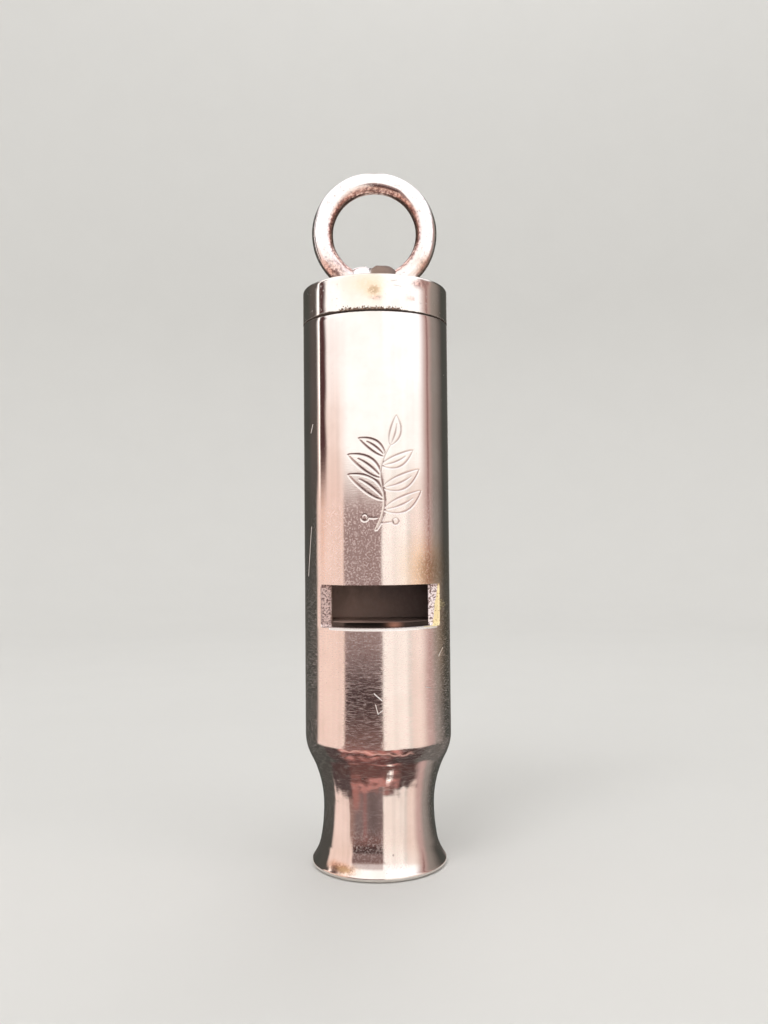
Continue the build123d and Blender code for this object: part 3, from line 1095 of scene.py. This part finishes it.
def breathed_brass(name, marks=()):
    """Brass gone brown in damp air: two browns in patches, a redder bloom, and file marks across.

    It is painted brighter just above the plugs, a painted patch of light through the window, and
    painted darker to the right, a painted shade.
    """
    finish, tree, shader, places = new_finish(name)
    patches = noise_in(tree, places, 0.42, 4.0, 0.62)
    filed = noise_in(tree, stretched(tree, places, (5.0, 0.8, 1.2)), 1.6, 3.0, 0.6)
    bloom = noise_in(tree, places, 2.1, 3.0, 0.7)
    tone = patched(tree, patches, 0.34, 0.66, (0.26, 0.18, 0.15), (0.40, 0.27, 0.225))
    tone = tinted(tree, stepped(tree, bloom, 0.60, 0.74, 0.5), tone, (0.30, 0.18, 0.14))
    tone = tinted(tree, stepped(tree, filed, 0.62, 0.40, 0.12), tone, (0.06, 0.044, 0.038))
    across, _, up = put(tree, "SeparateXYZ", {0: places}).outputs
    # Painted light: a patch lit through the window just above the plugs. Painted shade: darker to the right.
    window_light_patch = times(tree, stepped(tree, up, 32.0, 28.8, 0.45), stepped(tree, up, 27.0, 28.0))
    tone = tinted(tree, window_light_patch, tone, (0.66, 0.45, 0.37))
    to_right = raised(tree, -0.08, stepped(tree, across, -6.0, 5.0), 0.85)
    tone = tinted(tree, to_right, tone, (0.055, 0.036, 0.034))
    rough = raised(tree, 0.42, patches, 0.3)
    metal = stepped(tree, bloom, 0.75, 0.35, 0.4)
    # Painted shade: where this mark is 1 the brass is near black and does not shine.
    if "black" in marks:
        black = mark(tree, "black")
        tone = tinted(tree, black, tone, (0.008, 0.006, 0.005))
        metal = times(tree, metal, sum_of(tree, "SUBTRACT", 1.0, black))
        set_shader(tree, shader, Specular_IOR_Level=raised(tree, 0.5, black, -0.5))
    if "ruddy" in marks:
        tone = tinted(tree, mark(tree, "ruddy"), tone, (0.42, 0.20, 0.14))
    set_shader(tree, shader, Base_Color=tone, Roughness=rough, Metallic=metal)
    add_bump(tree, shader, filed, 0.012 * mm)
    add_bump(tree, shader, bloom, 0.02 * mm)
    return finish


plate_low, plate_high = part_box("divider_plate")
stop_low, stop_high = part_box("rear_chamber_stop")
airway_flat = 7.0 * mm  # from the axis to the filed flat of a plug
airway_turn = radians(7.0)  # how far the flats are turned about the axis
sharp_angle = radians(30)
shy = 0.01 * mm  # the inner parts stop just short of the bore's skin
inner_brass = breathed_brass("breathed_brass")
plug_brass = breathed_brass("breathed_plug_brass", marks=("ruddy", "black"))
plain_section = bore_slice(plate_low.y, plate_high.y, bore_radius - shy)
stop_section = bore_slice(stop_low.y, bore_radius - shy, bore_radius - shy)
plug_section = bore_slice(plate_high.y, bore_radius - shy, bore_radius - shy)
flat_way = np.array([-sin(airway_turn), cos(airway_turn)])
past_flat = np.clip(plug_section @ flat_way - airway_flat, 0, None)
plug_section = plug_section - past_flat[:, None] * flat_way
inner_parts = {
    "divider_plate": (plain_section, plate_low.z, plate_high.z, False),
    "rear_chamber_stop": (stop_section, stop_low.z, stop_high.z, False),
    "rear_airway_plug": (plug_section, plug_low.z, plug_high.z, False),
    "front_airway_plug": (plug_section, plug_low.z, plug_high.z, True),
}
for node_name, (section, bottom, top, in_front_half) in inner_parts.items():
    rings = worn_block(section, bottom, top)
    if in_front_half:
        rings = rings[:, ::-1] * [1, -1, 1]
    part_points, part_faces = closed_stack(rings)
    held = None
    if "plug" in node_name:
        part_x, part_y, part_z = part_points.T
        # The plugs are painted darker below their tops, a painted shade, and their filed flats nearly black,
        # the airway's painted shadow.
        below_top = (top - part_z) / mm
        along_way = part_x * flat_way[0] + np.abs(part_y) * flat_way[1]
        on_flat = np.abs(along_way - airway_flat) < 0.02 * mm
        dim = 0.78 * ease(2.0, 1.0, below_top) * (below_top > 0.01)
        line = ease(-3.7, -3.3, part_x / mm) * ease(1.2, 0.8, part_x / mm) * bump_at(below_top - 0.24, 0.13)
        ruddy = spots(part_x / mm, below_top, (1.0, 1.9, 0.3, 0.5, 0.25)) * (np.abs(part_y) > 6 * mm)
        held = {"black": most(dim, (0.90 + 0.09 * line) * on_flat), "ruddy": ruddy}
    part = make_piece("brass_" + node_name, part_points, part_faces, held)
    part.data.set_sharp_from_angle(angle=sharp_angle)
    part.data.materials.append(plug_brass if held else inner_brass)
    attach(part, "root")
    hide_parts(node_name)

# ---- Floor and backdrop ----
# One pale sheet of card: flat under the whistle and swept up all round, far behind the camera.
# From below it is clear, and it has a hole that the whistle's mouth covers, so that the mouthpiece
# can be looked into from under the floor.

sweep_start, sweep_round, sweep_height = 300 * mm, 180 * mm, 620 * mm
flat_radii = [5.8, 12, 30, 60, 110, 180, 240]  # in millimetres, the first one the hole's
drop = 0.03 * mm  # the card lies this far under the whistle's rim
sweep = np.concatenate(
    [
        np.array([[r * mm, 0.0] for r in flat_radii]),
        arc((sweep_start, sweep_round), sweep_round, -pi / 2, 0, 20),
        np.array([[sweep_start + sweep_round, sweep_height]]),
    ]
) - [0, drop]
sweep_rings = lathe(sweep, np.linspace(-pi, pi, 121)[:-1], lambda turned, level: 0.0)
sheet_points, sheet_faces = closed_stack(sweep_rings[:, ::-1])
side_count = len(sheet_faces) - sweep_rings.shape[1]  # all but the discs at both ends
floor = make_piece("floor", sheet_points[:-2], sheet_faces[:side_count])
floor_finish, tree, shader, places = new_finish("pale_card")
fibre = noise_in(tree, places, 0.05, 3.0, 0.5)
set_shader(
    tree,
    shader,
    Base_Color=tinted(tree, fibre, (0.745, 0.74, 0.725), (0.765, 0.76, 0.745)),
    Roughness=0.9,
    Specular_IOR_Level=0.1,
)
clear = put(tree, "BsdfTransparent").outputs[0]
from_below = put(tree, "NewGeometry").outputs["Backfacing"]
seen = put(tree, "MixShader", {0: from_below, 1: shader.outputs[0], 2: clear}).outputs[0]
tree.links.new(seen, tree.nodes["Material Output"].inputs["Surface"])
floor.data.materials.append(floor_finish)

# ---- Polish screen ----
# A round screen, seen only in the polish: pale panels to the left and right of the camera, a dark
# flag between them, dark flags behind each flank, and a dark disc about the foot. It gives the
# metal something to reflect, lights nothing, and hides nothing. It glows though it is no lamp,
# and its tones are painted reflections, down to the red streaks, folds and white glints that it
# lays on the metal.

screen_radius = 118 * mm
screen_wall = 110 * mm
screen_crown = 90 * mm
screen_low = 0.4 * mm


def wavering(values, *lengths):
    """A smooth wander between about -1 and 1: the mean of sines of unrelated lengths."""
    waves = [np.sin(values / length + 1.7 * number) for number, length in enumerate(lengths)]
    return sum(waves) / len(waves)


def lay(tone, *layers):
    """Lays layers over a tone in turn. Each is a colour and its share, from 0 to 1, at each place."""
    for over, share in layers:
        tone = tone + share[..., None] * (np.asarray(over) - tone)
    return tone


def shade(tone, *layers):
    """Dims a tone in turn. Each layer is how much of its light the tone keeps, and the layer's share."""
    for kept, share in layers:
        tone = lay(tone, (tone * kept, share))
    return tone


def plain_tone(places, *channels):
    return np.zeros((*places.shape, 3)) + channels


def panel_tone(side, reach, by_reach):
    """The pale panels: the left one warm below, the right one cooler, each with a few faint stripes."""
    left = by_reach(
        (-110, 1.09, 0.84, 0.76),
        (10, 1.09, 0.82, 0.72),
        (45, 1.10, 0.81, 0.72),
        (64, 1.18, 0.96, 0.89),
        (90, 1.42, 1.37, 1.38),
        (118, 1.55, 1.51, 1.56),
    )
    right = by_reach(
        (-110, 1.16, 1.0, 0.92),
        (-20, 1.22, 1.07, 0.98),
        (45, 1.28, 1.20, 1.14),
        (64, 1.38, 1.35, 1.34),
        (90, 1.50, 1.49, 1.54),
        (118, 1.55, 1.52, 1.60),
    )
    lower = ease(60, 46, reach)
    upright = ease(75, 60, reach)
    tone = shade(
        lay(left, (right, ease(-12, 8, side))),
        ((0.91, 0.83, 0.81), lower * ease(50, 54, side)),
        (0.78, lower * bump_at(side - 49.5, 2.6)),
        (0.93, lower * bump_at(side - 27, 3.0)),
        ((0.95, 0.86, 0.80), upright * ease(22, 36, reach) * bump_at(side + 90, 4.0)),
        (0.92, upright * bump_at(side + 59, 2.2)),
    )
    return tone * (1 + 0.05 * wavering(side, 0.8, 1.7, 3.9))[..., None]


def flag_tone(tone, side, reach, by_reach):
    """Lays the dark flag between the panels, ruddy and streaked where it reaches the floor."""
    middle = by_reach(
        (-110, 0.28, 0.20, 0.195),
        (-85, 0.25, 0.175, 0.17),
        (-62, 0.29, 0.14, 0.125),
        (-40, 0.25, 0.14, 0.125),
        (-25, 0.15, 0.095, 0.09),
        (-8, 0.075, 0.045, 0.045),
        (3, 0.065, 0.04, 0.04),
        (8, 0.21, 0.14, 0.135),
        (13, 0.36, 0.245, 0.235),
        (30, 0.40, 0.275, 0.26),
        (43, 0.42, 0.285, 0.27),
        (46, 0.52, 0.38, 0.36),
        (49, 0.86, 0.72, 0.68),
        (52, 1.20, 1.10, 1.06),
        (57, 1.40, 1.37, 1.36),
    )
    low_down = ease(-60, -80, reach)
    left_border = -50.4 - 4.5 * low_down
    right_border = 7.6 + 4.2 * ease(40, 47, reach)
    left_blur = 0.9 + 11.0 * ease(45, 53, reach)
    band = ease(left_border - left_blur, left_border + left_blur, side)
    band = band * ease(right_border + 1.2, right_border - 1.2, side)
    streak = side + 25 + 0.06 * (reach + 90) + 0.8 * wavering(reach, 3.1, 7.3)
    tone = lay(
        tone,
        (middle, band),
        ((0.38, 0.225, 0.195), low_down * ease(-40, -52, side) * band),
        ((0.40, 0.18, 0.165), 0.75 * low_down * bump_at(streak, 2.4) * ease(-45, -70, reach)),
    )
    dim_front, dim_right = band * bump_at(side + 10, 6.5), bump_at(side - 41, 2.6)
    return shade(tone, (0.72, low_down * dim_front), (0.87, low_down * dim_right))


def disc_tone(tone, side, reach, by_reach):
    """Lays the dark disc about the foot: red streaks, a fold, a glint, and a red spill past its edge."""
    edge = reach + 0.9 * wavering(side, 2.1, 5.3, 12.0)
    edge = edge - 2.5 * ease(-18, -48, side) - 0.7 * ease(14, 34, side)
    streaks = 0.5 + 0.5 * np.sin(4.4 * reach + 0.11 * side + 2.6 * wavering(side, 5.7, 11.0, 2.3))
    red_side = ease(-52, -44, side) * ease(40, 26, side)
    fold_reach = -101.4 - 0.022 * (side + 46) + 0.4 * wavering(side, 3.7, 8.1)
    fold = bump_at(reach - fold_reach, 0.55) * (0.55 + 0.45 * streaks)
    disc = by_reach(
        (-109.6, 0.36, 0.20, 0.17),
        (-107.5, 0.13, 0.08, 0.07),
        (-104, 0.115, 0.062, 0.056),
        (-101, 0.10, 0.066, 0.065),
    )
    disc = lay(disc, ((0.26, 0.10, 0.088), 0.7 * red_side * streaks), ((0.92, 0.40, 0.35), fold * red_side))
    glint = spots(side, reach, (1.0, 18, -103.9, 3.6, 0.5)) * (0.75 + 0.8 * wavering(side * 7, 3.1, 5.3))
    spill = ease(-104, -101.5, reach) * ease(-93, -97, reach) * ease(-50, -44, side) * ease(-28, -40, side)
    return lay(
        tone,
        (disc, ease(-100.9, -101.7, edge)),
        ((2.6, 2.4, 2.25), np.clip(1.6 * glint - 0.15, 0, 1)),
        ((0.50, 0.21, 0.18), 0.8 * spill),
    )


def flank_tone(tone, side, reach):
    """Lays the dark flags behind both flanks, with a red line on the right and a white one on the left."""
    low_down = ease(-60, -80, reach)
    high = ease(150, 126, reach)
    upper = ease(42, 58, reach) * high
    flank = lay(
        plain_tone(side, 0.125, 0.103, 0.095),
        ((0.082, 0.082, 0.074), most(ease(112, 132, np.abs(side)), 0.75 * ease(60, 40, reach))),
        ((0.24, 0.22, 0.20), ease(150, 166, np.abs(side))),
    )
    right_side = side + 3 + 6 * low_down
    line = bump_at(right_side - 89.5 - 0.5 * wavering(reach, 1.3, 3.1), 1.2) * ease(-20, 60, reach)
    left_edge = -104.0 + 3.0 * ease(44, 52, reach) + 10.0 * low_down + 6.0 * ease(-90, -99, reach)
    gap_end = -78.0 + 2.5 * wavering(reach, 0.9, 1.9, 3.3) - 3.0 * ease(95, 108, reach)
    return lay(
        tone,
        ((0.66, 0.45, 0.42), ease(70, 88, right_side) * ease(130, 120, reach)),
        ((0.36, 0.31, 0.285), ease(88, 104, right_side) * high),
        ((0.20, 0.075, 0.07), 0.85 * line * high),
        (flank, ease(102, 132, right_side) * high),
        (flank, ease(left_edge + 3, left_edge - 3, side) * high),
        ((0.10, 0.045, 0.045), upper * ease(gap_end, gap_end - 7, side) * ease(-95.6, -94.6, side)),
        ((2.4, 2.2, 2.1), upper * bump_at(side + 97.0, 0.8)),
    )


def screen_tone(side, reach):
    """The screen's colour, by the side it stands on in degrees from the camera, and its reach.

    Reach is in millimetres along the screen from its corner: below zero on the floor, up to the
    wall's height on the wall, and beyond that on the crown.
    """
    side = side + 0.6 * wavering(reach, 2.3, 5.1, 8.7)
    reach = reach + 0.8 * wavering(side, 3.1, 7.7)

    def by_reach(*stops):
        """A tone that runs through stops, each a reach and its three channels."""
        places, *channels = zip(*stops)
        return np.stack([np.interp(reach, places, channel) for channel in channels], axis=-1)

    tone = panel_tone(side, reach, by_reach)
    tone = flag_tone(tone, side, reach, by_reach)
    tone = disc_tone(tone, side, reach, by_reach)
    return flank_tone(tone, side, reach)


def screen_outline(reach):
    """(r, z) at each reach: along the floor, up the wall, and over the crown, a quarter of an ellipse."""
    r = np.where(reach < 0, screen_radius + reach * mm, screen_radius)
    z = np.where(reach < 0, screen_low, np.minimum(reach * mm + screen_low, screen_wall))
    over = np.clip((reach - screen_wall / mm) * radians(1), 0, radians(89))
    return np.where(over > 0, screen_radius * np.cos(over), r), z + screen_crown * np.sin(over)


screen_reach = np.concatenate(
    [
        np.linspace(-109.9, -99, 78)[:-1],
        np.linspace(-99, -85, 20),
        np.linspace(-83, 0, 34)[:-1],
        np.linspace(0, 110, 74)[:-1],
        np.linspace(110, 199, 46),
    ]
)
screen_end = 168  # degrees from the camera, so that a slit is left open behind the whistle
side_grid, reach_grid = np.meshgrid(np.linspace(-screen_end, screen_end, 449), screen_reach)

# A narrow collar close about the shoulder carries the dark flag's upper edge round it, streaked
# with red at the front. Like the screen, it is a painted reflection.
collar_radius = 11.0 * mm
collar_low, collar_high = 8.0, 13.4  # millimetres above the floor
collar_across, collar_level = np.meshgrid(
    np.linspace(-1, 1, 301), np.linspace(collar_low, collar_high, 55)
)
collar_middle, collar_half = -4, 117  # degrees
collar_side = collar_middle + collar_half * collar_across
collar_cover = ease(1, 0.8, np.abs(collar_across))  # it thins away to nothing at both ends


def collar_tone(side, level):
    """The collar's colour, by its side in degrees and its height in millimetres.

    Two folds of red lie over the dark. Each fold is a smooth hump of the height, about a middle that
    wanders with the side, and the upper one runs out to the right.
    """
    paler = ease(30, 50, side) * ease(12.0, 13.2, level)
    dark = lay(plain_tone(side, 0.085, 0.058, 0.056), ((0.205, 0.175, 0.165), paler))
    upper_fold = bump_at(level - 12.9 - 0.5 * wavering(side, 6.1, 2.9, 17.0), 0.34 + 0.005 * (side + 40))
    lower_fold = bump_at(level - 11.2 - 0.02 * side - 0.9 * wavering(side, 7.9, 3.3, 17.0), 0.5)
    seam = bump_at(level - 12.1 - 0.02 * side - 0.7 * wavering(side, 5.0, 2.3, 11.3), 0.17)
    crest = bump_at(level - 12.55 + 0.018 * side - 0.5 * wavering(side, 4.1, 1.7, 9.3), 0.11)
    blotch = 0.65 + 0.6 * wavering(side + 3 * level, 2.1, 4.7)
    folds = most(upper_fold * ease(34, 14, side), 0.75 * lower_fold * ease(24, 2, side))
    folds = ease(-44, -36, side) * blotch * folds
    from_left = ease(-42, -34, side)
    slant = 1.4 * (collar_high - level)
    left_end, right_end = -61 + slant, 50 - slant
    return lay(
        dark,
        ((0.19, 0.075, 0.068), 0.8 * from_left * ease(20, 4, side)),
        ((0.74, 0.31, 0.27), np.clip(folds, 0, 1)),
        ((0.08, 0.04, 0.036), seam),
        ((1.2, 0.72, 0.62), 0.8 * crest * from_left * ease(40, 30, side)),
        ((0.09, 0.087, 0.08), ease(left_end + 1.5, left_end - 1.5, side)),
        ((0.17, 0.155, 0.145), ease(right_end - 2, right_end + 5, side)),
    )


def painted_sheet(name, radii, heights, sides, tones, cover):
    """A sheet bent round Z. Its points carry the tones that it glows with, and how solid it is."""
    places = about_z(radii, np.radians(sides), heights).reshape(-1, 3)
    tiles = quads(np.arange(sides.size).reshape(sides.shape))[:-1, :-1]
    sheet = make_piece(name, places, tiles[..., [0, 3, 2, 1]].reshape(-1, 4))
    painted = sheet.data.attributes.new("painted", "FLOAT_COLOR", "POINT")
    tones = np.column_stack([tones.reshape(-1, 3), cover.ravel()])
    painted.data.foreach_set("color", tones.astype(np.float32).ravel())
    sheet.data.materials.append(screen_finish)
    sheet.visible_camera = False
    sheet.visible_diffuse = False
    sheet.visible_shadow = False
    sheet.visible_transmission = False
    sheet.visible_volume_scatter = False


screen_finish = bpy.data.materials.new("painted_screen")
screen_finish.use_nodes = True
tree = screen_finish.node_tree
tree.nodes.clear()
paint = put(tree, "Attribute", attribute_name="painted")
glow = put(tree, "Emission", {"Color": paint.outputs["Color"], "Strength": 1.0}).outputs[0]
clear = put(tree, "BsdfTransparent").outputs[0]
solid = put(tree, "MixShader", {0: paint.outputs["Alpha"], 1: clear, 2: glow}).outputs[0]
put(tree, "OutputMaterial", {"Surface": solid})
screen_r, screen_z = screen_outline(reach_grid)
screen_tones = screen_tone(side_grid, reach_grid)
collar_r = np.full(collar_side.shape, collar_radius)
collar_tones = collar_tone(collar_side, collar_level)
painted_sheet("polish_screen", screen_r, screen_z, side_grid, screen_tones, np.ones(side_grid.shape))
painted_sheet("polish_collar", collar_r, collar_level * mm, collar_side, collar_tones, collar_cover)

# ---- Lamps ----
# A large soft key above and to the left of the camera, a broad fill from the right, a third lamp
# behind, and an even pale sky. They light the card and the dull parts, and the polish sees the
# screen instead.

aim = Vector((0, 0, 36 * mm))
for name, place, width, power in (
    ("key", Vector((-0.22, -0.40, 0.50)), 0.36, 2.0),
    ("fill", Vector((0.42, -0.30, 0.38)), 0.40, 0.95),
    ("back", Vector((0.10, 0.45, 0.50)), 0.40, 0.85),
):
    lamp = bpy.data.lights.new(name, "AREA")
    lamp.shape = "DISK"
    lamp.size = width
    lamp.energy = power
    lamp_object = bpy.data.objects.new(name, lamp)
    bpy.context.scene.collection.objects.link(lamp_object)
    lamp_object.location = place
    lamp_object.rotation_euler = (place - aim).to_track_quat("Z", "Y").to_euler()
    lamp_object.visible_glossy = False

sky = bpy.data.worlds.new("sky")
sky.use_nodes = True
background = sky.node_tree.nodes["Background"].inputs
background["Color"].default_value = (1.0, 0.985, 0.965, 1.0)
background["Strength"].default_value = 0.8
bpy.context.scene.world = sky
bpy.context.scene.view_settings.view_transform = "Standard"
